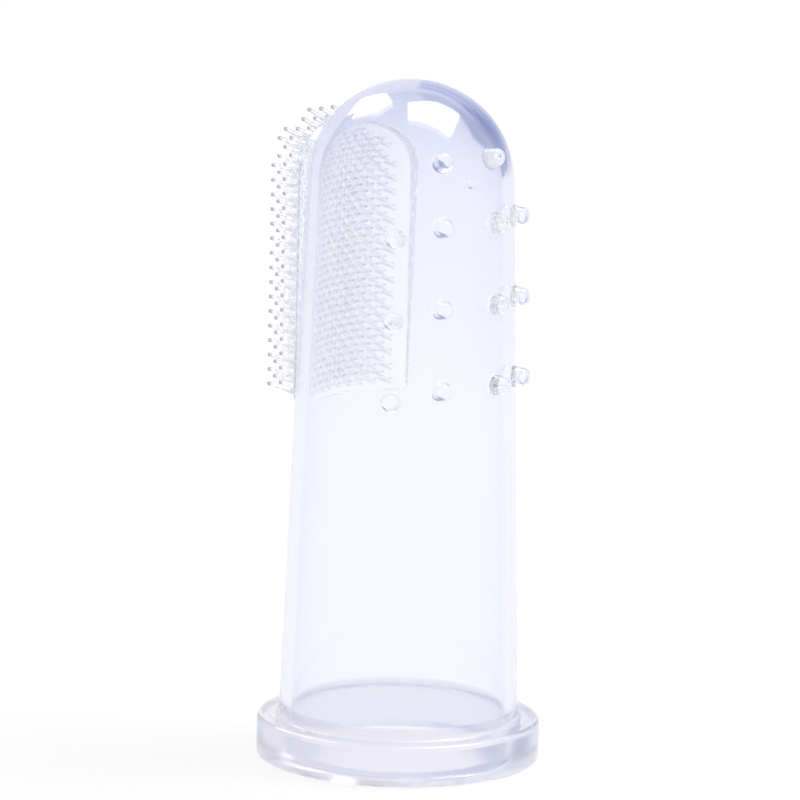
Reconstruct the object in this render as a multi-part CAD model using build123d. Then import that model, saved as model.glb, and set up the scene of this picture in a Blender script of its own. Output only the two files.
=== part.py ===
"""Pet toothbrush: a clear silicone brush that is worn on a finger.

The real brush is one moulding. It is drawn here as the features that its mould makes, each a solid of
its own, and neighbours meet face to face with nothing shared.

Frame: the sleeve stands on its mouth ring, with the origin in the middle of the mouth and +Z along the
sleeve towards the domed tip. The bristles point along +Y and the massage nubs face -Y. Millimetres.
"""
from build123d import *

import math
import os

# Sleeve and tip
overall_height = 62.0  # mouth to tip
tip_radius = 9.35  # outside of the domed tip
sleeve_mouth_radius = 10.8  # outside of the sleeve at its lower end
wall = 1.1  # across the sleeve, measured level

# Mouth ring
ring_overhang = 2.0  # of the ring beyond the sleeve
ring_height = 3.8
neck_height = 1.0  # short stub of sleeve that the ring carries
ring_edge = 0.5  # rounding of the ring's two outer edges
collar_fillet = 0.4  # between the ring's top and the neck
lip_chamfer = 1.3  # lead-in of the mouth, where the finger goes in

# Bristle pad
pad_half_width = 6.65
pad_length = 20.75  # from the middle of the dome down to the pad's lower edge
pad_arch_rise = 5.1  # of the pad's arched top, above the middle of the dome
pad_corner = 0.8
pad_border = 0.5  # bare margin round the bristles
pad_inner_corner = 0.3
pad_rise_at_foot = 0.27  # of the pad above the sleeve, at its lower edge
pad_rise_at_dome = 0.9

# Bristles
bristle_columns = 17
bristle_pitch = 1.34  # between the bristles of one column
bristle_field_rows = 5
bristle_fields_below_dome = 3
bristle_length = 2.5  # of the middle column; the tips lie in one plane
bristle_root = 0.44
bristle_tip = 0.28
bristle_embed = 0.4  # length of a strand that is fused into the pad
bristle_lift = 3.0  # degrees that the bristles rise on the sleeve
bristle_top_lift = 18.0  # and at the top of the pad
bristle_clearance = 0.05  # between a root and the pad's border
bristle_side_margin = 0.43  # between the outer columns' roots and the pad's border

# Massage nubs
nub_field_turn = -5.5  # degrees that the nubs' field is turned from -Y towards +X
nub_inner_angle = 17.3  # of the two inner columns, from the middle of the field
nub_outer_angle = 42.8
nub_rows = 3
nub_pitch = 7.32
nub_top_drop = 2.4  # from the middle of the dome down to the top row
nub_left_outer_drop = 1.0  # this column sits lower than the others
nub_dome_tilt = 20.3  # degrees above level, of the two nubs that stand on the dome
nub_base_radius = 1.0
nub_tip_radius = 0.64
nub_height = 1.45
nub_rounding = 0.5

# Gate mark, where the silicone enters the mould
gate_tilt = 7.7  # degrees above level, on the dome
gate_radius = 0.38
gate_rise = 0.12

# Worked out from the sizes above
dome_centre = overall_height - tip_radius
neck_top = ring_height + neck_height
bore_radius = sleeve_mouth_radius - wall
sleeve_run = dome_centre - neck_top
draft = math.acos(tip_radius / math.hypot(sleeve_mouth_radius, sleeve_run)) - math.atan2(
    sleeve_run, sleeve_mouth_radius
)
inner_tip_radius = tip_radius - wall * math.cos(draft)
ring_radius = sleeve_mouth_radius + ring_overhang
pad_bottom = dome_centre - pad_length
pad_radius = tip_radius + pad_rise_at_dome
bristle_reach = pad_radius + bristle_length
row_step = bristle_pitch / 2


def sleeve_radius(height):
    """Outside radius of the tapered sleeve at a height."""
    return sleeve_mouth_radius - (height - neck_top) * math.tan(draft)


def closed_form(foot_radius, dome_radius):
    """A tapered solid that ends in a dome, standing on a disc at the top of the neck."""
    slope_end = (dome_radius * math.cos(draft), dome_centre + dome_radius * math.sin(draft))
    apex = (0, dome_centre + dome_radius)
    middle = (draft + math.pi / 2) / 2
    arc_middle = (dome_radius * math.cos(middle), dome_centre + dome_radius * math.sin(middle))
    outline = Line((0, neck_top), (foot_radius, neck_top))
    outline += Line((foot_radius, neck_top), slope_end)
    outline += ThreePointArc(slope_end, arc_middle, apex)
    outline += Line(apex, (0, neck_top))
    return revolve(Plane.XZ * make_face(outline), Axis.Z)


def slab_between(low, high):
    """A wide block between two heights, for cutting."""
    side = 4 * ring_radius
    return Pos(0, 0, (low + high) / 2) * Box(side, side, high - low)


def sleeve_and_dome():
    """The shell above the neck, cut into the sleeve's wall and the domed tip."""
    shell = closed_form(sleeve_mouth_radius, tip_radius) - closed_form(bore_radius, inner_tip_radius)
    sleeve_wall = shell & slab_between(neck_top, dome_centre)
    tip_dome = shell & slab_between(dome_centre, overall_height + wall)
    return sleeve_wall, tip_dome


def mouth_ring():
    """The ring with its rounded edges, the mouth's lead-in chamfer and the straight land above it."""
    collar_radius = sleeve_radius(ring_height)
    corners = [
        (bore_radius, 0),
        (ring_radius, 0),
        (ring_radius, ring_height),
        (collar_radius, ring_height),
        (sleeve_mouth_radius, neck_top),
        (bore_radius, neck_top),
    ]
    section = make_face(Polyline(*corners, close=True))
    lip = section.vertices().sort_by_distance((bore_radius, 0, 0))[0]
    section = chamfer(lip, lip_chamfer)
    for corner, radius in zip(corners[1:], (ring_edge, ring_edge, collar_fillet)):
        here = section.vertices().sort_by_distance((*corner, 0))[0]
        section = fillet(here, radius)
    return revolve(Plane.XZ * section, Axis.Z)


def pad_outline(inset, corner):
    """The pad seen along -Y: straight sides, rounded lower corners and an arched top."""
    half_width = pad_half_width - inset
    bottom = pad_bottom + inset
    straight = dome_centre - bottom
    panel = Pos(0, bottom + straight / 2) * Rectangle(2 * half_width, straight)
    lower_corners = panel.vertices().sort_by(Axis.Y)[:2]
    panel = fillet(lower_corners, corner)
    return panel + Pos(0, dome_centre) * Ellipse(half_width, pad_arch_rise - inset)


def pad_skin():
    """The round solid whose outside is the pad's outer skin: straight below the dome, and a dome above."""
    foot = (sleeve_radius(pad_bottom) + pad_rise_at_foot, pad_bottom)
    shoulder = (pad_radius, dome_centre)
    apex = (0, dome_centre + pad_radius)
    outline = Line((0, pad_bottom), foot)
    outline += Line(foot, shoulder)
    outline += CenterArc((0, dome_centre), pad_radius, 0, 90)
    outline += Line(apex, (0, pad_bottom))
    return revolve(Plane.XZ * make_face(outline), Axis.Z)


def pad_slab(inset, corner):
    """The pad's outline carried in from its outer skin to the middle plane of the sleeve."""
    prism = extrude(Plane.XZ * pad_outline(inset, corner), -2 * pad_radius)
    return prism & pad_skin()


def pad_depth(x, height):
    """Y of the pad's outer skin."""
    if height > dome_centre:
        radius = math.sqrt(pad_radius**2 - (height - dome_centre) ** 2)
    else:
        foot_radius = sleeve_radius(pad_bottom) + pad_rise_at_foot
        share = (height - pad_bottom) / pad_length
        radius = foot_radius + share * (pad_radius - foot_radius)
    return math.sqrt(radius**2 - x**2)


def arch_height(x):
    """Height of the bristle area's upper edge at a distance x from its middle."""
    room = pad_border + bristle_clearance
    across = min(1.0, abs(x) / (pad_half_width - room))
    return dome_centre + (pad_arch_rise - room) * math.sqrt(1 - across**2)


def strand(x, height):
    """One bristle: four flat sides that narrow from its root inside the pad to its tip."""
    rise = max(0.0, height - dome_centre) / pad_arch_rise
    slope = math.tan(math.radians(bristle_lift + rise * (bristle_top_lift - bristle_lift)))
    skin = pad_depth(x, height)
    start = skin - bristle_embed
    root_plane = Plane(origin=(x, start, height - bristle_embed * slope), z_dir=(0, 1, 0))
    tip_height = height + (bristle_reach - skin) * slope
    tip_plane = Plane(origin=(x, bristle_reach, tip_height), z_dir=(0, 1, 0))
    root = root_plane * Rectangle(bristle_root, bristle_root)
    tip = tip_plane * Rectangle(bristle_tip, bristle_tip)
    return loft([root, tip])


def first_row():
    """Height of the lowest bristles."""
    return pad_bottom + pad_border + bristle_clearance + bristle_root / 2


def strands_between(low, high):
    """The staggered bristles whose roots lie between two heights."""
    made = []
    half = bristle_root / 2
    outer_column = pad_half_width - pad_border - bristle_side_margin - half
    column_step = 2 * outer_column / (bristle_columns - 1)
    for column in range(bristle_columns):
        x = column * column_step - outer_column
        height = first_row() + (column % 2) * row_step
        while height + half < arch_height(abs(x) + half):
            if low < height < high:
                made.append(strand(x, height))
            height += bristle_pitch
    return made


def field_edges():
    """Heights that part the bristle fields, each midway between two staggered rows."""
    step = bristle_field_rows * bristle_pitch
    start = first_row() - row_step / 2
    inner = [start + step * k for k in range(1, bristle_fields_below_dome + 1)]
    return [pad_bottom, *inner, overall_height]


def bristle_field(low, high, core):
    """Bristles fused to their slice of the pad, seated on the sleeve and dome."""
    backing = pad_slab(pad_border, pad_inner_corner) & slab_between(low, high)
    strands = strands_between(low, high)
    return backing.fuse(*strands) - core, len(strands)


def nub():
    """A nub that stands on the XY plane, with a root below it that the sleeve trims."""
    root = wall / 2
    section = make_face(
        Polyline(
            (0, -root),
            (nub_base_radius, -root),
            (nub_base_radius, 0),
            (nub_tip_radius, nub_height),
            (0, nub_height),
            close=True,
        )
    )
    tip_corner = section.vertices().sort_by_distance((nub_tip_radius, nub_height, 0))[0]
    section = fillet(tip_corner, nub_rounding)
    return revolve(Plane.XZ * section, Axis.Z)


def seat(angle, rise, radius, height):
    """Location with its Z pointing out of the surface. Angle 0 is -Y, 90 is +X, and rise is in radians."""
    turned = math.radians(angle)
    level = (math.sin(turned), -math.cos(turned))
    outward = (level[0] * math.cos(rise), level[1] * math.cos(rise), math.sin(rise))
    return Plane(origin=(level[0] * radius, level[1] * radius, height), z_dir=outward).location


def seat_on_sleeve(angle, height):
    """Location on the outside of the sleeve."""
    return seat(angle, draft, sleeve_radius(height), height)


def seat_on_dome(angle, tilt):
    """Location on the outside of the dome, tilt degrees above level."""
    rise = math.radians(tilt)
    return seat(angle, rise, tip_radius * math.cos(rise), dome_centre + tip_radius * math.sin(rise))


def nubs_at(seats, core):
    """A group of nubs, one at each seat, trimmed to the surface that carries them."""
    shape = nub()
    return Compound([(place * shape) - core for place in seats])


def nub_column(angle, core, drop=0.0):
    """The nubs of one column on the sleeve."""
    top = dome_centre - nub_top_drop - drop
    heights = [top - row * nub_pitch for row in range(nub_rows)]
    return nubs_at([seat_on_sleeve(nub_field_turn + angle, height) for height in heights], core)


def gate_mark(core):
    """The low round witness of the mould's gate, in the middle of the nubs' field."""
    button = Cylinder(gate_radius, wall + 2 * gate_rise)
    button = chamfer(button.faces().sort_by(Axis.Z)[-1].edges(), gate_rise / 2)
    middle = -wall / 2
    return (seat_on_dome(nub_field_turn, gate_tilt) * Pos(0, 0, middle) * button) - core


def build():
    """Every node's name and shape."""
    core = closed_form(sleeve_mouth_radius, tip_radius)
    sleeve_wall, tip_dome = sleeve_and_dome()
    nodes = {"sleeve_wall": sleeve_wall, "tip_dome": tip_dome, "mouth_ring": mouth_ring()}
    nodes["pad_border"] = pad_slab(0, pad_corner) - pad_slab(pad_border, pad_inner_corner) - core

    names = ["lower_bristles", "middle_bristles", "upper_bristles", "tip_bristles"]
    edges = field_edges()
    total = 0
    for name, low, high in zip(names, edges, edges[1:]):
        nodes[name], count = bristle_field(low, high, core)
        total += count
    print("bristles:", total)

    nodes["left_outer_nubs"] = nub_column(-nub_outer_angle, core, nub_left_outer_drop)
    nodes["left_inner_nubs"] = nub_column(-nub_inner_angle, core)
    nodes["right_inner_nubs"] = nub_column(nub_inner_angle, core)
    nodes["right_outer_nubs"] = nub_column(nub_outer_angle, core)
    dome_angles = [nub_field_turn - nub_inner_angle, nub_field_turn + nub_inner_angle]
    nodes["dome_nubs"] = nubs_at([seat_on_dome(angle, nub_dome_tilt) for angle in dome_angles], core)
    nodes["gate_mark"] = gate_mark(core)
    return nodes


os.makedirs("parts", exist_ok=True)
for node_name, node_shape in build().items():
    export_step(node_shape, f"parts/{node_name}.step")
    print(node_name, round(node_shape.volume, 3))
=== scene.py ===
"""The looks of a clear silicone finger brush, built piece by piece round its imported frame.

The brush is one moulding, so light has to cross from piece to piece as if nothing parted them. Each piece
is a closed mesh with three kinds of faces: open ones that meet the air, deep ones that line the hollow or
end a feature, and unseen joints where it is one with its neighbour. Lengths are metres.
"""

import logging
import math
from dataclasses import dataclass, field
from enum import Enum
from typing import Any, Callable, Iterable, Sequence, Union

import bmesh
import bpy
from bmesh.types import BMesh, BMFace, BMVert
from mathutils import Matrix, Vector


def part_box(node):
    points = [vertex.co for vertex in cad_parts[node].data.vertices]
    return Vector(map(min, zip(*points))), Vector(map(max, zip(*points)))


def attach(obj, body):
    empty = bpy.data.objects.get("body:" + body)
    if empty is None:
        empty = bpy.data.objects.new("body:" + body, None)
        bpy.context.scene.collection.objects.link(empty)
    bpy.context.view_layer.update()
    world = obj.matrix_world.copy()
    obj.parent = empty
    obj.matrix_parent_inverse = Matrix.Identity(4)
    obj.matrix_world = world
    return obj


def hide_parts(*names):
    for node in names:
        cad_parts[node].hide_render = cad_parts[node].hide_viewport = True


log = logging.getLogger("finger_brush")

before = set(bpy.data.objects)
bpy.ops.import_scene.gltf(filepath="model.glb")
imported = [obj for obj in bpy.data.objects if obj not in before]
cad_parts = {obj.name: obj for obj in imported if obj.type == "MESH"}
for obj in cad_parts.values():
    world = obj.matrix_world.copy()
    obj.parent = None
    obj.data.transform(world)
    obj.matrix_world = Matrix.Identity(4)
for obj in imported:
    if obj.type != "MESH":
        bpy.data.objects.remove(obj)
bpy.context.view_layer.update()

MM = 0.001
BODY = "root"
OVERALL_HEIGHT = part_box("tip_dome")[1].z
TURN_STEPS = 192  # round the sleeve
WELD = 1e-7  # points this near are one
ON_SKIN = 10 * WELD  # points this near a skin lie on it
ALONG = 0.5  # unit vectors whose dot product is over this point roughly one way
UP = Vector((0, 0, 1))
BRISTLE_WAY = Vector((0, 1, 0))
LEVEL = Vector((1, 1, 0))  # times this, a vector keeps its level part
ROOT_LAYER = "bristle"  # which root a face belongs to
INSET_LAYER = "inset"  # how far inside the pad's outline a vertex lies


class Face(Enum):
    """What a face of a piece is, which is also its material slot."""

    OPEN = 0  # meets the air outside
    DEEP = 1  # lines the hollow, or is a rim or a tip; on the pad's rims and tips, and high in the hollow, its finish paints shade
    JOINT = 2  # lies inside the silicone


class Side(Enum):
    """Which way a nub column lies from the middle of the nubs' field, seen from outside."""

    LEFT = -1
    RIGHT = 1


# ---------- Shader nodes ----------


class Value:
    """A node socket that can be written in sums, so that shader maths reads as Python."""

    def __init__(self, tree: "Nodes", socket: Union[bpy.types.NodeSocket, None]) -> None:
        """Wrap an output socket of a node tree, or none where a node has no output."""
        self.tree = tree
        self.socket = socket

    def _math(self, operation: str, first: Any, second: Any) -> "Value":
        """Add one Math node.

        Args:
            operation: the Math node's operation.
            first: its first input, a Value or a number.
            second: its second input.

        Returns:
            The node's result.
        """
        return self.tree.add("ShaderNodeMath", {"operation": operation}, {0: first, 1: second})

    def __add__(self, other: Any) -> "Value":
        """Self plus other."""
        return self._math("ADD", self, other)

    def __radd__(self, other: Any) -> "Value":
        """Other plus self."""
        return self._math("ADD", other, self)

    def __mul__(self, other: Any) -> "Value":
        """Self times other."""
        return self._math("MULTIPLY", self, other)

    def __rmul__(self, other: Any) -> "Value":
        """Other times self."""
        return self._math("MULTIPLY", other, self)

    def __pow__(self, other: Any) -> "Value":
        """Self to the power of other."""
        return self._math("POWER", self, other)

    def either(self, other: Any) -> "Value":
        """The larger of self and other."""
        return self._math("MAXIMUM", self, other)


class Nodes:
    """A node tree that is filled through one method."""

    def __init__(self, tree: bpy.types.NodeTree) -> None:
        """Take over a tree and empty it."""
        self.tree = tree
        tree.nodes.clear()

    def add(
        self,
        kind: str,
        settings: Union[dict, None] = None,
        inputs: Union[dict, None] = None,
        output: Union[int, str] = 0,
    ) -> Value:
        """Add a node, set it up and feed it.

        Args:
            kind: the node's type.
            settings: its properties, set before its sockets. A ramp's stops go under "stops".
            inputs: values or links for its input sockets, by name or index.
            output: the output socket to return.

        Returns:
            That output, wrapped.
        """
        node = self.tree.nodes.new(kind)
        for name, setting in (settings or {}).items():
            if name == "stops":
                self._set_stops(node.color_ramp, setting)
            else:
                setattr(node, name, setting)
        for name, value in (inputs or {}).items():
            if isinstance(value, Value):
                self.tree.links.new(value.socket, node.inputs[name])
            else:
                node.inputs[name].default_value = value
        if not node.outputs:
            return Value(self, None)
        return Value(self, node.outputs[output])

    @staticmethod
    def _set_stops(ramp: bpy.types.ColorRamp, stops: Sequence[tuple]) -> None:
        """Give a colour ramp its stops.

        Args:
            ramp: the ramp.
            stops: (place, colour) pairs.
        """
        while len(ramp.elements) < len(stops):
            ramp.elements.new(1.0)
        for element, (place, colour) in zip(ramp.elements, stops):
            element.position = place
            element.color = colour


# ---------- Finishes ----------


Colour = tuple[float, float, float, float]
Stops = tuple[tuple[float, Colour], ...]  # colours of a ramp, each at its place


def even(*colour: float) -> Stops:
    """One colour all the way up the brush."""
    return ((0.0, (*colour, 1.0)),)


# painted shade: above half height the clear tint deepens towards the tip, standing for the dome's shading and
# partly for the longer way through its curved walls
CLEAR_TINTS_WITH_DOME_SHADE: Stops = (
    (0.00, (0.930, 0.937, 0.996, 1.0)),
    (0.50, (0.930, 0.937, 0.996, 1.0)),
    (0.85, (0.855, 0.867, 0.990, 1.0)),
    (0.93, (0.760, 0.775, 0.955, 1.0)),
    (1.00, (0.720, 0.738, 0.920, 1.0)),
)
# painted reflection: near the tip the hollow's skin, seen edge on, is tinted dark blue to paint the dark
# streak inside the dome
CORE_PAINTED_STREAK: Stops = (
    (0.00, (0.860, 0.840, 0.950, 1.0)),
    (0.75, (0.860, 0.840, 0.950, 1.0)),
    (0.90, (0.260, 0.330, 0.520, 1.0)),
)
FAINT_TINT = even(0.985, 0.988, 1.0)


@dataclass(frozen=True)
class Finish:
    """The look of a surface."""

    name: str

    def material(self) -> bpy.types.Material:
        """Build the material.

        Returns:
            The finished material.
        """
        material = bpy.data.materials.new(self.name)
        material.use_nodes = True
        nodes = Nodes(material.node_tree)
        nodes.add("ShaderNodeOutputMaterial", inputs={"Surface": self.surface(nodes)})
        return material

    def surface(self, nodes: Nodes) -> Value:
        """Build the shader, which each kind of finish does its own way."""
        raise NotImplementedError(self.name)


@dataclass(frozen=True)
class Silicone(Finish):
    """Moulded silicone: faintly cool, hazy and wavy, and deeper with painted shade towards the tip and where
    it is seen edge on, which partly stands for the longer way light takes through its walls.

    Tints are stops of a ramp up the brush, from its mouth at 0 to its tip at 1, or one stop for all of it.
    Edges, in the same way, are the painted edge shade that tints are multiplied by where the surface is seen
    edge on.
    """

    tints: Stops = CLEAR_TINTS_WITH_DOME_SHADE
    edges: Stops = even(0.84, 0.82, 0.95)
    edge_falloff: float = 2.0
    polish: float = 0.03
    haze: float = 0.05
    clearness: float = 1.0
    gloss_tint: Colour = (1.0, 1.0, 1.0, 1.0)
    ior: float = 1.41
    haze_scale: float = 160.0
    haze_detail: float = 3.0
    haze_roughness: float = 0.6
    wave_scale: float = 240.0
    wave_detail: float = 1.0
    wave_height: float = 0.003 * MM

    def surface(self, nodes: Nodes) -> Value:
        """Build the shader.

        Args:
            nodes: the material's tree.

        Returns:
            The shader.
        """
        place = nodes.add("ShaderNodeTexCoord", output="Object")
        cloud = nodes.add(
            "ShaderNodeTexNoise",
            inputs={
                "Vector": place,
                "Scale": self.haze_scale,
                "Detail": self.haze_detail,
                "Roughness": self.haze_roughness,
            },
        )
        waves = nodes.add(
            "ShaderNodeTexNoise",
            inputs={"Vector": place, "Scale": self.wave_scale, "Detail": self.wave_detail},
        )
        # painted shade: the tint deepens up the brush through the height ramp, and towards the edge colour
        # where the surface is seen edge on
        height = nodes.add("ShaderNodeSeparateXYZ", inputs={0: place}, output="Z") * (1 / OVERALL_HEIGHT)
        facing = nodes.add("ShaderNodeLayerWeight", inputs={"Blend": 0.5}, output="Facing")
        colour = nodes.add(
            "ShaderNodeMix",
            {"data_type": "RGBA", "blend_type": "MULTIPLY"},
            {
                "Factor": facing**self.edge_falloff,
                6: self._ramp(nodes, height, self.tints),
                7: self._ramp(nodes, height, self.edges),
            },
            output=2,
        )
        bump = nodes.add(
            "ShaderNodeBump", inputs={"Height": waves, "Strength": 1.0, "Distance": self.wave_height}
        )
        return nodes.add(
            "ShaderNodeBsdfPrincipled",
            inputs={
                "Base Color": colour,
                "Roughness": self.polish + cloud * self.haze,
                "IOR": self.ior,
                "Specular Tint": self.gloss_tint,
                "Transmission Weight": self.clearness,
                "Normal": bump,
            },
        )

    @staticmethod
    def _ramp(nodes: Nodes, height: Value, stops: Stops) -> Union[Value, Colour]:
        """A colour that changes up the brush.

        Args:
            nodes: the tree.
            height: from 0 to 1.
            stops: the colours, each at its height.

        Returns:
            The ramp's colour, or the colour itself where there is only one.
        """
        if len(stops) == 1:
            return stops[0][1]
        return nodes.add("ShaderNodeValToRGB", {"stops": stops}, {"Fac": height})


@dataclass(frozen=True)
class FusedJoint(Finish):
    """The unseen face where two pieces of the moulding are one."""

    name: str = "fused joint"

    def surface(self, nodes: Nodes) -> Value:
        """A shader that shows nothing."""
        return nodes.add("ShaderNodeBsdfPrincipled", inputs={"Alpha": 0.0})


@dataclass(frozen=True)
class SeamlessWhite(Finish):
    """The floor: plain white to the eye and through clear things, with a share of its real shading kept."""

    name: str = "seamless white"
    colour: Colour = (0.93, 0.93, 0.94, 1.0)
    background: Colour = (1.0, 1.0, 1.0, 1.0)
    background_share: float = 0.86

    def surface(self, nodes: Nodes) -> Value:
        """Build the shader.

        Args:
            nodes: the material's tree.

        Returns:
            The shader.
        """
        seen = seen_as_background(nodes)
        plain = nodes.add("ShaderNodeBsdfDiffuse", inputs={"Color": self.colour})
        glow = nodes.add("ShaderNodeEmission", inputs={"Color": self.background, "Strength": 1.0})
        return nodes.add(
            "ShaderNodeMixShader", inputs={0: seen * self.background_share, 1: plain, 2: glow}
        )


@dataclass(frozen=True)
class StudioCard(Finish):
    """A plain card or window of the studio, which only clear and glossy things show.

    Its corners are where the brush sees them: degrees from -Y towards +X, and degrees above level.
    """

    corners: tuple[tuple[float, float], ...]
    distance: float
    colour: Colour = (1.0, 1.0, 1.0, 1.0)
    strength: float = 1.0

    def surface(self, nodes: Nodes) -> Value:
        """A shader that glows."""
        return nodes.add("ShaderNodeEmission", inputs={"Color": self.colour, "Strength": self.strength})


CARDS = (
    StudioCard("key window", ((150, 71), (108, 58), (86, 48), (29, 50.5), (-68, 83)), 1.06, strength=9.0),
    StudioCard("back window", ((182, 31), (163, 29), (158, 45), (168, 62), (200, 59)), 1.0, strength=7.0),
    StudioCard("shade card", ((94, 2), (118, 2), (118, 28), (94, 28)), 0.8, (0.34, 0.41, 0.60, 1.0)),
    StudioCard("half shade card", ((117, 6), (137, 6), (137, 29), (117, 29)), 0.82, (0.58, 0.64, 0.80, 1.0)),
    StudioCard("low shade card", ((94, -8), (131, -6), (131, 8), (94, 8)), 0.78, (0.42, 0.48, 0.64, 1.0)),
    StudioCard("ceiling card", ((45, 54), (135, 54), (225, 54), (315, 54)), 1.6, (0.78, 0.82, 0.90, 1.0)),
)


@dataclass(frozen=True)
class Palette:
    """The finishes of the moulding, each list in the order of Face."""

    shell: list[bpy.types.Material]
    ring: list[bpy.types.Material]
    border: list[bpy.types.Material]
    fields: list[bpy.types.Material]
    nubs: list[bpy.types.Material]

    @classmethod
    def mixed(cls) -> "Palette":
        """Make the materials.

        Returns:
            The palette.
        """
        finishes = (
            FusedJoint(),
            Silicone("clear silicone"),
            # painted reflection: the hollow's skin darkens edge on near the tip for the dome's dark streak
            Silicone(
                "core silicone with painted streak",
                FAINT_TINT,
                CORE_PAINTED_STREAK,
                edge_falloff=3.0,
                polish=0.05,
                gloss_tint=(0.5, 0.5, 0.5, 1.0),
            ),
            Silicone("milky silicone", even(0.91, 0.905, 0.98), polish=0.14, clearness=0.9),
            Silicone("bristle silicone", FAINT_TINT, even(0.84, 0.83, 0.90), clearness=0.982),
            # painted shade: the dark edge colour paints a dark line where the pad's outline is seen edge on
            Silicone("border silicone with painted edge shade", FAINT_TINT, even(0.30, 0.36, 0.58), edge_falloff=4.0),
            # painted shade: the bristles' rounded ends are painted dark grey
            Silicone("tip painted shade", even(0.62, 0.61, 0.68), clearness=0.8),
            # painted shade: dark blue-grey on the upper side of the pad's rim, for the dark lines along it
            Silicone("rim painted shade", even(0.50, 0.52, 0.76), polish=0.1),
            # painted shade: the dark edge colour paints shaded crescents round the nubs' sides
            Silicone(
                "nub silicone with painted shade",
                even(0.935, 0.94, 1.0),
                even(0.58, 0.57, 0.66),
                edge_falloff=3.0,
                polish=0.02,
                haze=0.02,
                ior=1.33,
            ),
        )
        joint, skin, core, ring, pad, border, tip, rim, nub = [finish.material() for finish in finishes]
        return cls(
            shell=[skin, core, joint],
            ring=[ring, ring, joint],
            border=[border, rim, joint],
            fields=[pad, tip, joint],
            nubs=[nub, nub, joint],
        )


def seen_as_background(nodes: Nodes) -> Value:
    """1 for rays that see the background: from the camera, off gloss and through clear things.

    Args:
        nodes: the tree that asks.

    Returns:
        The mask.
    """
    camera = nodes.add("ShaderNodeLightPath", output="Is Camera Ray")
    glossy = nodes.add("ShaderNodeLightPath", output="Is Glossy Ray")
    through = nodes.add("ShaderNodeLightPath", output="Is Transmission Ray")
    return camera.either(glossy).either(through)


# ---------- Mesh helpers ----------


def rotate_about_sleeve(degrees: float) -> Vector:
    """Level direction at an angle from -Y towards +X.

    Args:
        degrees: the angle.

    Returns:
        The unit vector.
    """
    turned = math.radians(degrees)
    return Vector((math.sin(turned), -math.cos(turned), 0))


def bisect(bm: BMesh, faces: Iterable[BMFace], point: Vector, normal: Vector) -> list[BMFace]:
    """Cut faces by a plane.

    Args:
        bm: their mesh.
        faces: what to cut.
        point: a point on the plane.
        normal: the plane's normal.

    Returns:
        The faces on both sides.
    """
    kept = list(faces)
    edges = {edge for face in kept for edge in face.edges}
    verts = {vert for face in kept for vert in face.verts}
    found = bmesh.ops.bisect_plane(
        bm, geom=[*verts, *edges, *kept], dist=WELD, plane_co=point, plane_no=normal
    )["geom"]
    return [item for item in found if isinstance(item, BMFace)]


def cut_outline(bm: BMesh, faces: Iterable[BMFace], outline: Sequence[Vector], way: Vector) -> list[BMFace]:
    """Cut a convex outline through faces, along one direction.

    Args:
        bm: their mesh.
        faces: what to cut.
        outline: the outline's points, in order.
        way: the direction of the cut.

    Returns:
        The faces inside the outline.
    """
    middle = sum(outline, Vector()) / len(outline)
    inside = list(faces)
    for start, end in zip(outline, [*outline[1:], outline[0]]):
        normal = (end - start).cross(way).normalized()
        if normal.dot(start - middle) < 0:
            normal.negate()
        pieces = bisect(bm, inside, start, normal)
        inside = [face for face in pieces if normal.dot(face.calc_center_median() - start) < 0]
    return inside


def new_face(bm: BMesh, outline: Sequence[Vector]) -> BMFace:
    """One flat face from its outline.

    Args:
        bm: the mesh to add it to.
        outline: the outline's points, in order.

    Returns:
        The face.
    """
    return bm.faces.new([bm.verts.new(point) for point in outline])


def mark(faces: Iterable[BMFace], kind: Face) -> None:
    """Say what faces are."""
    for face in faces:
        face.material_index = kind.value


def facing_core(bm: BMesh) -> list[BMFace]:
    """The faces of a hollow that look in on its axis, below or beside its top."""
    return [face for face in bm.faces if face.normal.dot(face.calc_center_median() * LEVEL) < -WELD]


def sharpen_joints(bm: BMesh) -> None:
    """Shade smooth, with a sharp edge wherever the open skin ends.

    Args:
        bm: the piece's mesh.
    """
    for face in bm.faces:
        face.smooth = True
    for edge in bm.edges:
        joints = [face.material_index == Face.JOINT.value for face in edge.link_faces]
        edge.smooth = all(joints) or not any(joints)


class Wire:
    """A profile in the XZ plane, drawn as a chain of edges and then turned."""

    def __init__(self, radius: float, height: float) -> None:
        """Start the chain.

        Args:
            radius: where it starts.
            height: where it starts.
        """
        self.bm = bmesh.new()
        self.first = self.bm.verts.new((radius, 0, height))
        self.last = self.first

    def line_to(self, radius: float, height: float) -> "Wire":
        """Draw a straight line.

        Args:
            radius: where it ends.
            height: where it ends.

        Returns:
            The wire.
        """
        point = self.bm.verts.new((radius, 0, height))
        self.bm.edges.new((self.last, point))
        self.last = point
        return self

    def arc(self, radius: float, height: float, degrees: float, steps: int) -> "Wire":
        """Draw an arc from the chain's end.

        Args:
            radius: radius of the arc's centre from the axis.
            height: height of the arc's centre.
            degrees: how far it goes, positive from +X towards +Z.
            steps: its edges.

        Returns:
            The wire.
        """
        made = bmesh.ops.spin(
            self.bm,
            geom=[self.last],
            cent=(radius, 0, height),
            axis=(0, -1, 0),
            angle=math.radians(degrees),
            steps=steps,
            use_merge=False,
            use_duplicate=False,
        )
        self.last = next(item for item in made["geom_last"] if isinstance(item, BMVert))
        return self

    def close(self) -> "Wire":
        """Join the chain's end to its start."""
        self.bm.edges.new((self.last, self.first))
        return self

    def turned(self, steps: int = TURN_STEPS) -> BMesh:
        """Turn the profile right round the Z axis.

        Args:
            steps: how many steps.

        Returns:
            The closed mesh.
        """
        bmesh.ops.spin(
            self.bm,
            geom=[*self.bm.verts, *self.bm.edges],
            cent=(0, 0, 0),
            axis=(0, 0, 1),
            angle=math.tau,
            steps=steps,
            use_merge=True,
            use_duplicate=False,
        )
        bmesh.ops.remove_doubles(self.bm, verts=self.bm.verts, dist=WELD)
        bmesh.ops.recalc_face_normals(self.bm, faces=self.bm.faces)
        return self.bm


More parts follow.
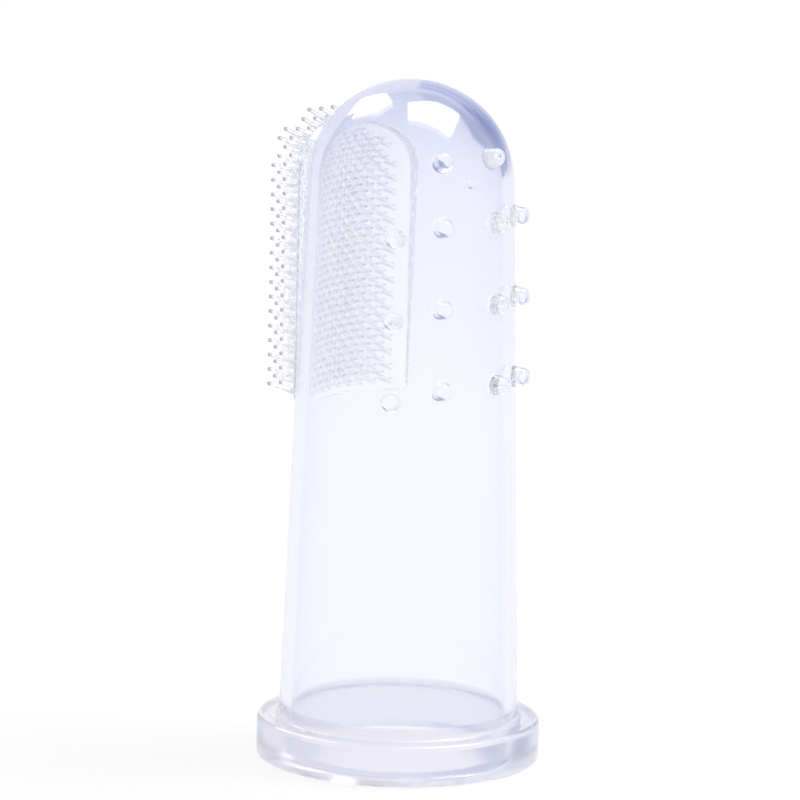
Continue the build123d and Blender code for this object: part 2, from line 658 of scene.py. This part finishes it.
def finish_piece(
    bm: BMesh,
    node: str,
    finishes: Sequence[bpy.types.Material],
    normal_at: Union[Callable[[Vector, Vector], Vector], None] = None,
) -> bpy.types.Object:
    """Turn a mesh into a piece that stands for a CAD node.

    Args:
        bm: the mesh, which is used up.
        node: the CAD node.
        finishes: the materials, in the order of Face.
        normal_at: exact normal of the open skin from a point and its face's normal, or None to leave it.

    Returns:
        The piece.
    """
    sharpen_joints(bm)
    mesh = bpy.data.meshes.new(f"silicone_{node}")
    bm.to_mesh(mesh)
    bm.free()
    for material in finishes:
        mesh.materials.append(material)
    if normal_at:
        normals = [Vector()] * len(mesh.loops)
        for polygon in mesh.polygons:
            if polygon.material_index != Face.JOINT.value:
                for index in polygon.loop_indices:
                    point = mesh.vertices[mesh.loops[index].vertex_index].co
                    normals[index] = normal_at(point, polygon.normal)
        mesh.normals_split_custom_set(normals)
    piece = bpy.data.objects.new(mesh.name, mesh)
    bpy.context.scene.collection.objects.link(piece)
    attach(piece, BODY)
    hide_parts(node)
    log.info("%s: %d faces", piece.name, len(mesh.polygons))
    return piece


# ---------- The shell ----------


@dataclass
class Shell:
    """The hollow of the brush: tapered sleeve, domed tip and mouth ring."""

    dome_centre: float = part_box("tip_dome")[0].z
    neck_top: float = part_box("mouth_ring")[1].z
    mouth_radius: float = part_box("sleeve_wall")[1].x
    ring_radius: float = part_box("mouth_ring")[1].x
    wall: float = 1.1 * MM
    ring_height: float = 3.8 * MM
    ring_edge: float = 0.5 * MM
    collar_fillet: float = 0.4 * MM
    lip_chamfer: float = 1.3 * MM
    edge_steps: int = 8
    dome_steps: int = 40
    sleeve_rings: int = 16
    dome_shading: float = 0.95  # share of the rise to the dome's edge past which its own normals hold
    tip_radius: float = field(init=False)
    draft: float = field(init=False)

    def __post_init__(self) -> None:
        """Work out the dome and the sleeve's draft."""
        self.tip_radius = OVERALL_HEIGHT - self.dome_centre
        run = self.dome_centre - self.neck_top
        slope = math.acos(self.tip_radius / math.hypot(self.mouth_radius, run))
        self.draft = slope - math.atan2(run, self.mouth_radius)

    def radius_at(self, height: float, depth: float = 0.0) -> float:
        """Radius of the sleeve or dome at a height.

        Args:
            height: the height.
            depth: 0 on the outside, and the wall on the inside.

        Returns:
            The radius.
        """
        dome = self.tip_radius - depth * math.cos(self.draft)
        slope_end = self.dome_centre + dome * math.sin(self.draft)
        if height > slope_end:
            return math.sqrt(max(dome**2 - (height - self.dome_centre) ** 2, 0))
        return self.mouth_radius - depth - (height - self.neck_top) * math.tan(self.draft)

    def depth_at(self, x: float, height: float) -> float:
        """Y of the outer skin, on the bristles' side."""
        return math.sqrt(self.radius_at(height) ** 2 - x**2)

    def normal_at(self, point: Vector, facing: Vector) -> Vector:
        """Exact normal of the sleeve's and dome's skins.

        Args:
            point: a point on the skin.
            facing: the normal of its face, which tells the outside from the inside.

        Returns:
            The unit normal.
        """
        if point.z > self.dome_centre + self.tip_radius * math.sin(self.draft) * self.dome_shading:
            normal = (point - Vector((0, 0, self.dome_centre))).normalized()
        else:
            level = (point * LEVEL).normalized() * math.cos(self.draft)
            normal = level + UP * math.sin(self.draft)
        return normal if normal.dot(facing) > 0 else -normal

    def seat_on_sleeve(self, degrees: float, height: float) -> Matrix:
        """Placement on the sleeve's outside, with Z pointing out.

        Args:
            degrees: angle from -Y towards +X.
            height: its height.

        Returns:
            The placement.
        """
        return self._seat(degrees, self.draft, self.radius_at(height), height)

    def seat_on_dome(self, degrees: float, tilt: float) -> Matrix:
        """Placement on the dome's outside, with Z pointing out.

        Args:
            degrees: angle from -Y towards +X.
            tilt: degrees above level.

        Returns:
            The placement.
        """
        rise = math.radians(tilt)
        height = self.dome_centre + self.tip_radius * math.sin(rise)
        return self._seat(degrees, rise, self.tip_radius * math.cos(rise), height)

    @staticmethod
    def _seat(degrees: float, rise: float, radius: float, height: float) -> Matrix:
        """Placement with Z pointing out.

        Args:
            degrees: angle from -Y towards +X.
            rise: angle of Z above level, in radians.
            radius: distance from the axis.
            height: its height.

        Returns:
            The placement.
        """
        level = rotate_about_sleeve(degrees)
        out = level * math.cos(rise) + UP * math.sin(rise)
        across = UP.cross(level).normalized()
        turn = Matrix((across, out.cross(across), out)).transposed().to_4x4()
        return Matrix.Translation(level * radius + UP * height) @ turn

    def sleeve_mesh(self) -> BMesh:
        """The sleeve's wall, with joints at both ends.

        Returns:
            The closed mesh.
        """
        low, high = self.neck_top, self.dome_centre
        wire = Wire(self.radius_at(low), low)
        for step in range(1, self.sleeve_rings + 1):
            height = low + (high - low) * step / self.sleeve_rings
            wire.line_to(self.radius_at(height), height)
        wire.line_to(self.radius_at(high, self.wall), high)
        wire.line_to(self.radius_at(low, self.wall), low)
        bm = wire.close().turned()
        mark(facing_core(bm), Face.DEEP)
        mark([face for face in bm.faces if abs(face.normal.z) > ALONG], Face.JOINT)
        return bm

    def dome_mesh(self) -> BMesh:
        """The domed tip, with a joint where the sleeve begins.

        Returns:
            The closed mesh.
        """
        base = self.dome_centre
        wire = Wire(0, base + self.tip_radius)
        wire.arc(0, base, -90 + math.degrees(self.draft), self.dome_steps)
        wire.line_to(self.radius_at(base), base)
        wire.line_to(self.radius_at(base, self.wall), base)
        inner = self.tip_radius - self.wall * math.cos(self.draft)
        wire.line_to(inner * math.cos(self.draft), base + inner * math.sin(self.draft))
        wire.arc(0, base, 90 - math.degrees(self.draft), self.dome_steps)
        bm = wire.turned()
        mark(facing_core(bm), Face.DEEP)
        mark([face for face in bm.faces if abs(face.calc_center_median().z - base) < WELD], Face.JOINT)
        return bm

    def ring_mesh(self) -> BMesh:
        """The mouth ring: lead-in chamfer, rounded edges and the fillet at the sleeve's foot.

        Returns:
            The closed mesh.
        """
        bore = self.radius_at(self.neck_top, self.wall)
        edge, lip, top = self.ring_edge, self.lip_chamfer, self.ring_height
        collar = self.radius_at(top) + self.collar_fillet
        wire = Wire(bore, self.neck_top)
        wire.line_to(bore, lip)
        wire.line_to(bore + lip, 0)
        wire.line_to(self.ring_radius - edge, 0)
        wire.arc(self.ring_radius - edge, edge, 90, self.edge_steps)
        wire.line_to(self.ring_radius, top - edge)
        wire.arc(self.ring_radius - edge, top - edge, 90, self.edge_steps)
        wire.line_to(collar, top)
        wire.arc(collar, top + self.collar_fillet, -90, self.edge_steps)
        wire.line_to(self.radius_at(self.neck_top), self.neck_top)
        bm = wire.close().turned()
        mark(facing_core(bm), Face.DEEP)
        flat = [face for face in bm.faces if abs(face.calc_center_median().z - self.neck_top) < WELD]
        mark(flat, Face.JOINT)
        return bm


# ---------- The bristle pad ----------


@dataclass
class BristlePad:
    """The raised pad with its arched top, its bare border and its fields of bristles."""

    shell: Shell
    half_width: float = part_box("pad_border")[1].x
    bottom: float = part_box("pad_border")[0].z
    arch_top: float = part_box("pad_border")[1].z
    skin_radius: float = 10.25 * MM
    corner: float = 0.8 * MM
    border: float = 0.5 * MM
    rim_round: float = 0.15 * MM
    # how far in from the pad's skin the rim's painted shade reaches
    rim_depth: float = 0.35 * MM
    brow_rise: float = 0.35  # the brow ends where the side's normal rises more than this
    rim_steps: int = 4
    arch_steps: int = 48
    corner_steps: int = 6
    columns: int = 17
    pitch: float = 1.34 * MM
    field_rows: int = 5
    root: float = 0.44 * MM
    tip: float = 0.3 * MM
    tip_round: float = 0.09 * MM
    lift: float = 3.0
    top_lift: float = 18.0
    clearance: float = 0.05 * MM
    side_margin: float = 0.43 * MM
    rings: tuple[tuple[float, float], ...] = (  # share of the way out, and narrowing
        (0.5, 0.5),
        (0.92, 0.92),
        (1.0, 1.0),
        (1.0, 1.6),
    )
    bevel_percent: float = 28.0
    flat_shading: float = 0.995  # dot product with the skin's normal over which a face is shaded by it
    reach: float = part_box("middle_bristles")[1].y
    fields: tuple[str, ...] = ("lower_bristles", "middle_bristles", "upper_bristles", "tip_bristles")

    def outline(self, inset: float = 0.0) -> list[Vector]:
        """The pad's outline, drawn in from its edge.

        Args:
            inset: how far in.

        Returns:
            Its points, in order.
        """
        half = self.half_width - inset
        low = self.bottom + inset
        rise = self.arch_top - self.shell.dome_centre - inset
        corner = self.corner - inset
        points = []
        for step in range(self.arch_steps + 1):
            turn = math.pi * step / self.arch_steps
            points.append(Vector((half * math.cos(turn), 0, self.shell.dome_centre + rise * math.sin(turn))))
        for side, start in ((-1, math.pi), (1, 1.5 * math.pi)):
            for step in range(self.corner_steps + 1):
                turn = start + 0.5 * math.pi * step / self.corner_steps
                x = side * (half - corner) + corner * math.cos(turn)
                points.append(Vector((x, 0, low + corner + corner * math.sin(turn))))
        return points

    def skin_at(self, x: float, height: float) -> float:
        """Y of the pad's outer skin."""
        above = max(0.0, height - self.shell.dome_centre)
        return math.sqrt(self.skin_radius**2 - above**2 - x**2)

    def normal_at(self, point: Vector, facing: Vector) -> Vector:
        """Exact normal of the pad's skin, and nothing for its sides and bristles.

        Args:
            point: a point on the face.
            facing: the normal of the face.

        Returns:
            The unit normal, or a zero vector where the mesh's own normal is right.
        """
        above = max(0.0, point.z - self.shell.dome_centre)
        normal = Vector((point.x, point.y, above)).normalized()
        on_skin = abs(point.y - self.skin_at(point.x, point.z)) < ON_SKIN
        return normal if on_skin and normal.dot(facing) > self.flat_shading else Vector()

    def column_places(self) -> list[float]:
        """X of the bristle columns.

        Returns:
            One for each column, from the left.
        """
        outer = self.half_width - self.border - self.side_margin - self.root / 2
        step = 2 * outer / (self.columns - 1)
        return [column * step - outer for column in range(self.columns)]

    def first_row(self) -> float:
        """Height of the lowest bristles."""
        return self.bottom + self.border + self.clearance + self.root / 2

    def arch_at(self, x: float) -> float:
        """Height of the bristle area's upper edge.

        Args:
            x: distance from its middle.

        Returns:
            The height.
        """
        room = self.border + self.clearance
        across = min(1.0, abs(x) / (self.half_width - room))
        rise = self.arch_top - self.shell.dome_centre - room
        return self.shell.dome_centre + rise * math.sqrt(1 - across**2)

    def roots(self) -> list[Vector]:
        """Middles of all the bristles' roots.

        Returns:
            Points in the XZ plane.
        """
        found = []
        half = self.root / 2
        for number, x in enumerate(self.column_places()):
            height = self.first_row() + (number % 2) * self.pitch / 2
            while height + half < self.arch_at(abs(x) + half):
                found.append(Vector((x, 0, height)))
                height += self.pitch
        return found

    def field_edges(self) -> list[float]:
        """Heights that part the fields.

        Returns:
            One more height than there are fields, upwards.
        """
        start = self.first_row() - self.pitch / 4
        step = self.field_rows * self.pitch
        inner = [start + step * number for number in range(1, len(self.fields))]
        return [self.bottom, *inner, self.arch_top]

    def cut_grid(self, bm: BMesh, sheet: Sequence[BMFace], roots: Sequence[Vector]) -> None:
        """Cut a flat sheet along the sides of every root, so that roots stand free and the sheet can bend.

        Args:
            bm: its mesh, which is cut right across the pad.
            sheet: the faces that are cut along the pad too.
            roots: middles of the roots.
        """
        sides = (-self.root / 2, self.root / 2)
        for height in sorted({place.z + side for place in roots for side in sides}):
            sheet = bisect(bm, sheet, UP * height, UP)
        for x in sorted({place + side for place in self.column_places() for side in sides}):
            bisect(bm, bm.faces, Vector((x, 0, 0)), Vector((1, 0, 0)))

    def raise_sheet(self, bm: BMesh) -> list[BMFace]:
        """Give a flat sheet its thickness, from the shell's skin out to the pad's.

        Args:
            bm: the sheet.

        Returns:
            The faces on the pad's skin.
        """
        base = list(bm.faces)
        made = bmesh.ops.extrude_face_region(bm, geom=base)["geom"]
        top = [item for item in made if isinstance(item, BMFace)]
        upper = {vert for face in top for vert in face.verts}
        for vert in bm.verts:
            if vert in upper:
                vert.co.y = self.skin_at(vert.co.x, vert.co.z)
            else:
                vert.co.y = self.shell.depth_at(vert.co.x, vert.co.z)
        bmesh.ops.recalc_face_normals(bm, faces=bm.faces)
        mark(bm.faces, Face.JOINT)
        mark(top, Face.OPEN)
        return top

    def rim_insets(self) -> list[float]:
        """How far in the rings of the border lie: round the rim, and at the fields."""
        turns = [0.5 * math.pi * step / self.rim_steps for step in range(self.rim_steps + 1)]
        return [*(self.rim_round * (1 - math.cos(turn)) for turn in turns), self.border]

    def border_mesh(self) -> BMesh:
        """The bare margin with its rounded rim, open on top and outside.

        Returns:
            The closed mesh.
        """
        bm = bmesh.new()
        inset_of = bm.verts.layers.float.new(INSET_LAYER)
        rings = []
        for inset in self.rim_insets():
            rings.append([bm.verts.new(point) for point in self.outline(inset)])
            for vert in rings[-1]:
                vert[inset_of] = inset
        for outer, inner in zip(rings, rings[1:]):
            around = zip(outer, [*outer[1:], outer[0]], [*inner[1:], inner[0]], inner)
            strip = [bm.faces.new(corners) for corners in around]
        self.cut_grid(bm, strip, self.roots())  # the last strip, inside the rim
        top = self.raise_sheet(bm)
        for vert in {vert for face in top for vert in face.verts}:
            back = max(0.0, self.rim_round - vert[inset_of])
            vert.co.y += math.sqrt(self.rim_round**2 - back**2) - self.rim_round
        side = [face for face in bm.faces if all(vert[inset_of] < WELD for vert in face.verts)]
        mark(side, Face.OPEN)
        bmesh.ops.recalc_face_normals(bm, faces=bm.faces)
        # the rim's side within rim_depth of the skin, below the arch, is marked deep, and its finish paints
        # dark lines of shade there
        brow = Vector((0, self.skin_at(self.half_width, self.bottom) - self.rim_depth, 0))
        upper = [face for face in bisect(bm, side, brow, BRISTLE_WAY) if face.calc_center_median().y > brow.y]
        mark([face for face in upper if abs(face.normal.z) < self.brow_rise], Face.DEEP)
        return bm

    def field_mesh(self, low: float, high: float) -> BMesh:
        """One field: a slice of the pad with its bristles drawn out of it.

        Args:
            low: its lower edge.
            high: its upper edge.

        Returns:
            The closed mesh.
        """
        roots = [place for place in self.roots() if low < place.z < high]
        bm = bmesh.new()
        bm.faces.layers.int.new(ROOT_LAYER)
        sheet = [new_face(bm, self.outline(self.border))]
        for where, sign in ((low, -1), (high, 1)):
            point, normal = UP * where, UP * sign
            sheet = bisect(bm, sheet, point, normal)
            beyond = [face for face in sheet if normal.dot(face.calc_center_median() - point) > 0]
            bmesh.ops.delete(bm, geom=beyond, context="FACES")
            sheet = list(bm.faces)
        self.cut_grid(bm, sheet, roots)
        top = self.raise_sheet(bm)
        self.draw_bristles(bm, top, roots)
        return bm

    def draw_bristles(self, bm: BMesh, top: Sequence[BMFace], roots: Sequence[Vector]) -> None:
        """Draw the bristles out of their root faces, and round them.

        Args:
            bm: the field's mesh.
            top: the faces on the pad's skin.
            roots: middles of the roots.
        """
        near = self.root / 4
        owner = bm.faces.layers.int[ROOT_LAYER]
        ends = []
        for face in top:
            middle = face.calc_center_median()
            for number, place in enumerate(roots):
                if abs(middle.x - place.x) < near and abs(middle.z - place.z) < near:
                    face[owner] = number
                    ends.append(face)
        long_edges = set()
        for share, narrowing in self.rings:
            ends = bmesh.ops.extrude_discrete_faces(bm, faces=ends)["faces"]
            for face in ends:
                for vert in face.verts:
                    long_edges.update(edge for edge in vert.link_edges if edge not in face.edges)
                    # the rounded ends are marked deep, and their finish paints them dark as shade
                    if narrowing >= 1:
                        mark(vert.link_faces, Face.DEEP)
                self._place_ring(face, roots[face[owner]], share, narrowing)
        bmesh.ops.bevel(
            bm,
            geom=[edge for edge in long_edges if edge.is_valid],
            offset=self.bevel_percent,
            offset_type="PERCENT",
            affect="EDGES",
            segments=1,
            profile=0.5,
            material=-1,
        )

    def _place_ring(self, face: BMFace, place: Vector, share: float, narrowing: float) -> None:
        """Move one cross-section of a bristle to its place.

        Args:
            face: the cross-section.
            place: middle of the bristle's root.
            share: how far along the bristle it lies.
            narrowing: 0 at the root's width, 1 at the tip's, and more for the rounded end.
        """
        rise = max(0.0, place.z - self.shell.dome_centre) / (self.arch_top - self.shell.dome_centre)
        slope = math.tan(math.radians(self.lift + rise * (self.top_lift - self.lift)))
        skin = self.skin_at(place.x, place.z)
        end = self.reach if narrowing > 1 else self.reach - self.tip_round
        run = (end - skin) * share
        half = (self.root + (self.tip - self.root) * narrowing) / 2
        target = Vector((place.x, skin + run, place.z + run * slope))
        middle = face.calc_center_median()
        for vert in face.verts:
            way = vert.co - middle
            vert.co = target + Vector((math.copysign(half, way.x), 0, math.copysign(half, way.z)))

    def build(self, palette: Palette) -> list[bpy.types.Object]:
        """Make the border and the fields.

        Args:
            palette: the finishes.

        Returns:
            The pieces.
        """
        pieces = [finish_piece(self.border_mesh(), "pad_border", palette.border, self.normal_at)]
        edges = self.field_edges()
        for node, low, high in zip(self.fields, edges, edges[1:]):
            pieces.append(finish_piece(self.field_mesh(low, high), node, palette.fields, self.normal_at))
        return pieces


# ---------- Nubs and gate mark ----------


@dataclass
class NubField:
    """The massage nubs: four columns on the sleeve and two nubs on the dome."""

    shell: Shell
    turn: float = -5.5
    inner_angle: float = 17.3
    outer_angle: float = 42.8
    rows: int = 3
    pitch: float = 7.32 * MM
    top_drop: float = 2.4 * MM
    left_outer_drop: float = 1.0 * MM
    dome_tilt: float = 20.3
    base_radius: float = 1.0 * MM
    tip_radius: float = 0.64 * MM
    height: float = 1.45 * MM
    rounding: float = 0.5 * MM
    foot: float = 0.4 * MM
    arc_steps: int = 8
    steps: int = 32

    def column(self, side: Side, angle: float, drop: float = 0.0) -> list[Matrix]:
        """Seats of one column.

        Args:
            side: which way it lies.
            angle: degrees from the middle of the field.
            drop: how much lower it sits than the others.

        Returns:
            The seats.
        """
        top = self.shell.dome_centre - self.top_drop - drop
        degrees = self.turn + side.value * angle
        return [self.shell.seat_on_sleeve(degrees, top - row * self.pitch) for row in range(self.rows)]

    def groups(self) -> dict[str, list[Matrix]]:
        """Seats of every group of nubs.

        Returns:
            The seats, by CAD node.
        """
        sides = (Side.LEFT, Side.RIGHT)
        dome = [self.turn + side.value * self.inner_angle for side in sides]
        return {
            "left_outer_nubs": self.column(Side.LEFT, self.outer_angle, self.left_outer_drop),
            "left_inner_nubs": self.column(Side.LEFT, self.inner_angle),
            "right_inner_nubs": self.column(Side.RIGHT, self.inner_angle),
            "right_outer_nubs": self.column(Side.RIGHT, self.outer_angle),
            "dome_nubs": [self.shell.seat_on_dome(degrees, self.dome_tilt) for degrees in dome],
        }

    def nub_mesh(self, seat: Matrix) -> BMesh:
        """One nub on its seat.

        Args:
            seat: its placement.

        Returns:
            The closed mesh.
        """
        lean = math.atan2(self.base_radius - self.tip_radius, self.height)
        sweep = 90 - math.degrees(lean)
        back = self.rounding * math.tan(math.radians(sweep) / 2)
        centre = self.tip_radius - back
        wire = Wire(0, 0)
        wire.line_to(self.base_radius, 0)
        wire.line_to(self.base_radius - self.foot * math.tan(lean), self.foot)
        start = Vector((math.cos(lean), 0, math.sin(lean))) * self.rounding
        wire.line_to(centre + start.x, self.height - self.rounding + start.z)
        wire.arc(centre, self.height - self.rounding, sweep, self.arc_steps)
        wire.line_to(0, self.height)
        return seated(wire.turned(self.steps), seat, self.shell)

    def build(self, finishes: Sequence[bpy.types.Material]) -> list[bpy.types.Object]:
        """Make every group.

        Args:
            finishes: the materials, in the order of Face.

        Returns:
            The pieces.
        """
        pieces = []
        for node, seats in self.groups().items():
            bm = bmesh.new()
            for seat in seats:
                add_mesh(bm, self.nub_mesh(seat))
            pieces.append(finish_piece(bm, node, finishes, self.foot_normal_at))
        return pieces

    def foot_normal_at(self, point: Vector, facing: Vector) -> Vector:
        """Exact normal of the shell at a nub's foot, which melts into the skin, and nothing above it.

        Args:
            point: a point on the nub.
            facing: the normal of its face.

        Returns:
            The unit normal, or a zero vector where the mesh's own normal is right.
        """
        above = math.hypot(point.x, point.y) - self.shell.radius_at(point.z)
        return self.shell.normal_at(point, facing) if abs(above) < ON_SKIN else Vector()


@dataclass
class GateMark:
    """The low round witness of the mould's gate, on the middle line of the nubs' field."""

    shell: Shell
    turn: float = NubField.turn
    tilt: float = 7.7
    radius: float = 0.38 * MM
    rise: float = 0.12 * MM
    steps: int = 32

    def seat(self) -> Matrix:
        """Its placement on the dome."""
        return self.shell.seat_on_dome(self.turn, self.tilt)

    def build(self, finishes: Sequence[bpy.types.Material]) -> bpy.types.Object:
        """Make the mark.

        Args:
            finishes: the materials, in the order of Face.

        Returns:
            The piece.
        """
        edge = self.rise / 2
        wire = Wire(0, 0)
        wire.line_to(self.radius, 0)
        wire.line_to(self.radius, self.rise - edge)
        wire.line_to(self.radius - edge, self.rise)
        wire.line_to(0, self.rise)
        bm = seated(wire.turned(self.steps), self.seat(), self.shell)
        return finish_piece(bm, "gate_mark", finishes)


def seated(bm: BMesh, seat: Matrix, shell: Shell, settling: int = 3) -> BMesh:
    """Stand a turned form on the shell, with its underside fitted to the skin as a joint.

    Args:
        bm: the form, standing on the XY plane.
        seat: its placement.
        shell: what it stands on.
        settling: how many steps bring the underside to the skin.

    Returns:
        The same mesh.
    """
    under = {vert for vert in bm.verts if abs(vert.co.z) < WELD}
    mark([face for face in bm.faces if all(vert in under for vert in face.verts)], Face.JOINT)
    bm.transform(seat)
    out = seat.to_3x3() @ UP
    for vert in under:
        for _ in range(settling):
            level = math.hypot(vert.co.x, vert.co.y)
            vert.co += out * (shell.radius_at(vert.co.z) - level)
    return bm


def add_mesh(bm: BMesh, part: BMesh) -> None:
    """Copy a mesh into another and free it.

    Args:
        bm: what it is added to.
        part: what is added, which is used up.
    """
    carried = bpy.data.meshes.new("carried")
    part.to_mesh(carried)
    part.free()
    bm.from_mesh(carried)
    bpy.data.meshes.remove(carried)


def ring_outline(seat: Matrix, radius: float, steps: int) -> list[Vector]:
    """Points round a seat.

    Args:
        seat: the placement.
        radius: their distance from it.
        steps: how many.

    Returns:
        The points, in order.
    """
    turns = [math.tau * step / steps for step in range(steps)]
    return [seat @ Vector((radius * math.cos(turn), radius * math.sin(turn), 0)) for turn in turns]


@dataclass
class Moulding:
    """The whole brush: the shell, with unseen joints cut into it wherever something grows from it."""

    shell: Shell
    pad: BristlePad
    nubs: NubField
    gate: GateMark
    socket_reach: float = 6 * MM  # faces farther than this from a seat are never cut
    pad_facing: float = 0.3  # faces that point less than this towards the bristles are never cut

    def cut_seat(self, bm: BMesh, seat: Matrix, radius: float, steps: int) -> None:
        """Cut a round joint into the shell's skin.

        Args:
            bm: the shell's mesh.
            seat: where.
            radius: how large.
            steps: sides of the cut.
        """
        out = (seat.to_3x3() @ UP).normalized()
        middle = seat.translation
        near = [
            face
            for face in bm.faces
            if face.material_index == Face.OPEN.value
            and face.normal.dot(out) > ALONG
            and (face.calc_center_median() - middle).length < self.socket_reach
        ]
        mark(cut_outline(bm, near, ring_outline(seat, radius, steps), out), Face.JOINT)

    def cut_pad(self, bm: BMesh) -> None:
        """Cut the pad's joint into the shell's skin.

        Args:
            bm: the shell's mesh.
        """
        outside = [
            face
            for face in bm.faces
            if face.material_index == Face.OPEN.value
            and face.normal.y > self.pad_facing
            and face.normal.dot(face.calc_center_median()) > 0
        ]
        mark(cut_outline(bm, outside, self.pad.outline(), BRISTLE_WAY), Face.JOINT)

    def build(self, palette: Palette) -> list[bpy.types.Object]:
        """Make every piece.

        Args:
            palette: the finishes.

        Returns:
            The pieces.
        """
        sleeve, dome = self.shell.sleeve_mesh(), self.shell.dome_mesh()
        for bm in (sleeve, dome):
            self.cut_pad(bm)
        for node, seats in self.nubs.groups().items():
            carrier = dome if node == "dome_nubs" else sleeve
            for seat in seats:
                self.cut_seat(carrier, seat, self.nubs.base_radius, self.nubs.steps)
        self.cut_seat(dome, self.gate.seat(), self.gate.radius, self.gate.steps)
        ring = finish_piece(self.shell.ring_mesh(), "mouth_ring", palette.ring)
        even = ring.modifiers.new("even shading", "WEIGHTED_NORMAL")
        even.keep_sharp = True
        return [
            finish_piece(sleeve, "sleeve_wall", palette.shell, self.shell.normal_at),
            finish_piece(dome, "tip_dome", palette.shell, self.shell.normal_at),
            ring,
            *self.pad.build(palette),
            *self.nubs.build(palette.nubs),
            self.gate.build(palette.shell),
        ]


# ---------- The studio ----------


def studio_way(azimuth: float, elevation: float) -> Vector:
    """A direction in the studio.

    Args:
        azimuth: degrees from -Y towards +X.
        elevation: degrees above level.

    Returns:
        The direction, of length 1.
    """
    rise = math.radians(elevation)
    return rotate_about_sleeve(azimuth) * math.cos(rise) + UP * math.sin(rise)


@dataclass
class Studio:
    """Pale floor, white surroundings, cards that shade the clear edges, soft windows and the camera."""

    azimuth: float = -41.0
    elevation: float = 11.55
    roll: float = 1.34
    distance: float = 704.6 * MM
    look_height: float = 31.0 * MM
    lens: float = 351.92
    sensor: float = 36.0
    aim_left: float = 0.447 * MM
    aim_up: float = 1.782 * MM
    clip_end: float = 20.0
    floor_size: float = 3.0
    lamp_azimuth: float = 60.0
    lamp_elevation: float = 55.0
    lamp_distance: float = 0.9
    lamp_power: float = 6.0
    lamp_size: float = 0.5
    world_colour: Colour = (0.85, 0.87, 0.9, 1.0)
    world_strength: float = 0.8
    background: Colour = (1.0, 1.0, 1.0, 1.0)
    bounces: int = 128

    def add_camera(self) -> None:
        """Place the camera as the photograph has it."""
        look = UP * self.look_height
        back = studio_way(self.azimuth, self.elevation)
        place = look + back * self.distance
        level = UP.cross(back).normalized()
        upright = back.cross(level)
        roll = math.radians(self.roll)
        right = level * math.cos(roll) + upright * math.sin(roll)
        up = upright * math.cos(roll) - level * math.sin(roll)
        aim = look - right * self.aim_left + up * self.aim_up
        away = (place - aim).normalized()
        across = up.cross(away).normalized()
        turn = Matrix((across, away.cross(across), away)).transposed().to_4x4()
        data = bpy.data.cameras.new("camera")
        data.lens = self.lens
        data.sensor_width = self.sensor
        data.clip_end = self.clip_end
        camera = bpy.data.objects.new("camera", data)
        camera.matrix_world = Matrix.Translation(place) @ turn
        bpy.context.scene.collection.objects.link(camera)
        bpy.context.scene.camera = camera

    def add_floor(self) -> None:
        """Lay the floor."""
        bm = bmesh.new()
        bmesh.ops.create_grid(bm, x_segments=1, y_segments=1, size=self.floor_size / 2)
        self._staged(bm, "floor", SeamlessWhite().material())

    def add_card(self, card: StudioCard) -> None:
        """Hang a card round the brush, out of the camera's sight.

        Args:
            card: which.
        """
        middle = UP * self.look_height
        bm = bmesh.new()
        new_face(bm, [middle + studio_way(*corner) * card.distance for corner in card.corners])
        hung = self._staged(bm, card.name.replace(" ", "_"), card.material())
        hung.visible_camera = False
        hung.visible_shadow = False
        hung.visible_diffuse = False

    @staticmethod
    def _staged(bm: BMesh, name: str, material: bpy.types.Material) -> bpy.types.Object:
        """Make a stage object of a mesh.

        Args:
            bm: the mesh, which is used up.
            name: the object's name.
            material: its finish.

        Returns:
            The object.
        """
        mesh = bpy.data.meshes.new(name)
        bm.to_mesh(mesh)
        bm.free()
        mesh.materials.append(material)
        staged = bpy.data.objects.new(name, mesh)
        bpy.context.scene.collection.objects.link(staged)
        return staged

    def add_lamp(self) -> None:
        """Hang a soft lamp that points at the brush."""
        way = studio_way(self.lamp_azimuth, self.lamp_elevation)
        data = bpy.data.lights.new("key lamp", "AREA")
        data.energy = self.lamp_power
        data.size = self.lamp_size
        lamp = bpy.data.objects.new("key lamp", data)
        lamp.visible_glossy = False
        lamp.visible_transmission = False
        facing = way.to_track_quat("Z", "Y").to_matrix().to_4x4()
        lamp.matrix_world = Matrix.Translation(way * self.lamp_distance) @ facing
        bpy.context.scene.collection.objects.link(lamp)

    def light_world(self) -> None:
        """White surroundings to the eye, off gloss and through clear things, and a plain soft light."""
        world = bpy.data.worlds.new("studio")
        world.use_nodes = True
        bpy.context.scene.world = world
        nodes = Nodes(world.node_tree)
        seen = seen_as_background(nodes)
        soft = nodes.add(
            "ShaderNodeBackground", inputs={"Color": self.world_colour, "Strength": self.world_strength}
        )
        white = nodes.add("ShaderNodeBackground", inputs={"Color": self.background, "Strength": 1.0})
        mixed = nodes.add("ShaderNodeMixShader", inputs={0: seen, 1: soft, 2: white})
        nodes.add("ShaderNodeOutputWorld", inputs={"Surface": mixed})

    def allow_light(self) -> None:
        """Let light travel far enough through the silicone's many walls."""
        cycles = bpy.context.scene.cycles
        cycles.max_bounces = self.bounces
        cycles.transmission_bounces = self.bounces
        cycles.glossy_bounces = self.bounces
        cycles.transparent_max_bounces = 2 * self.bounces

    def build(self) -> None:
        """Set up the studio."""
        self.allow_light()
        self.light_world()
        self.add_floor()
        self.add_camera()
        self.add_lamp()
        for card in CARDS:
            self.add_card(card)
        bpy.context.scene.view_settings.view_transform = "Standard"


def main() -> None:
    """Build the brush and its studio."""
    logging.basicConfig(level=logging.INFO, format="%(name)s: %(message)s")
    shell = Shell()
    moulding = Moulding(shell, BristlePad(shell), NubField(shell), GateMark(shell))
    pieces = moulding.build(Palette.mixed())
    log.info("%d pieces, %d bristles", len(pieces), len(moulding.pad.roots()))
    Studio().build()


if __name__ == "__main__":
    main()
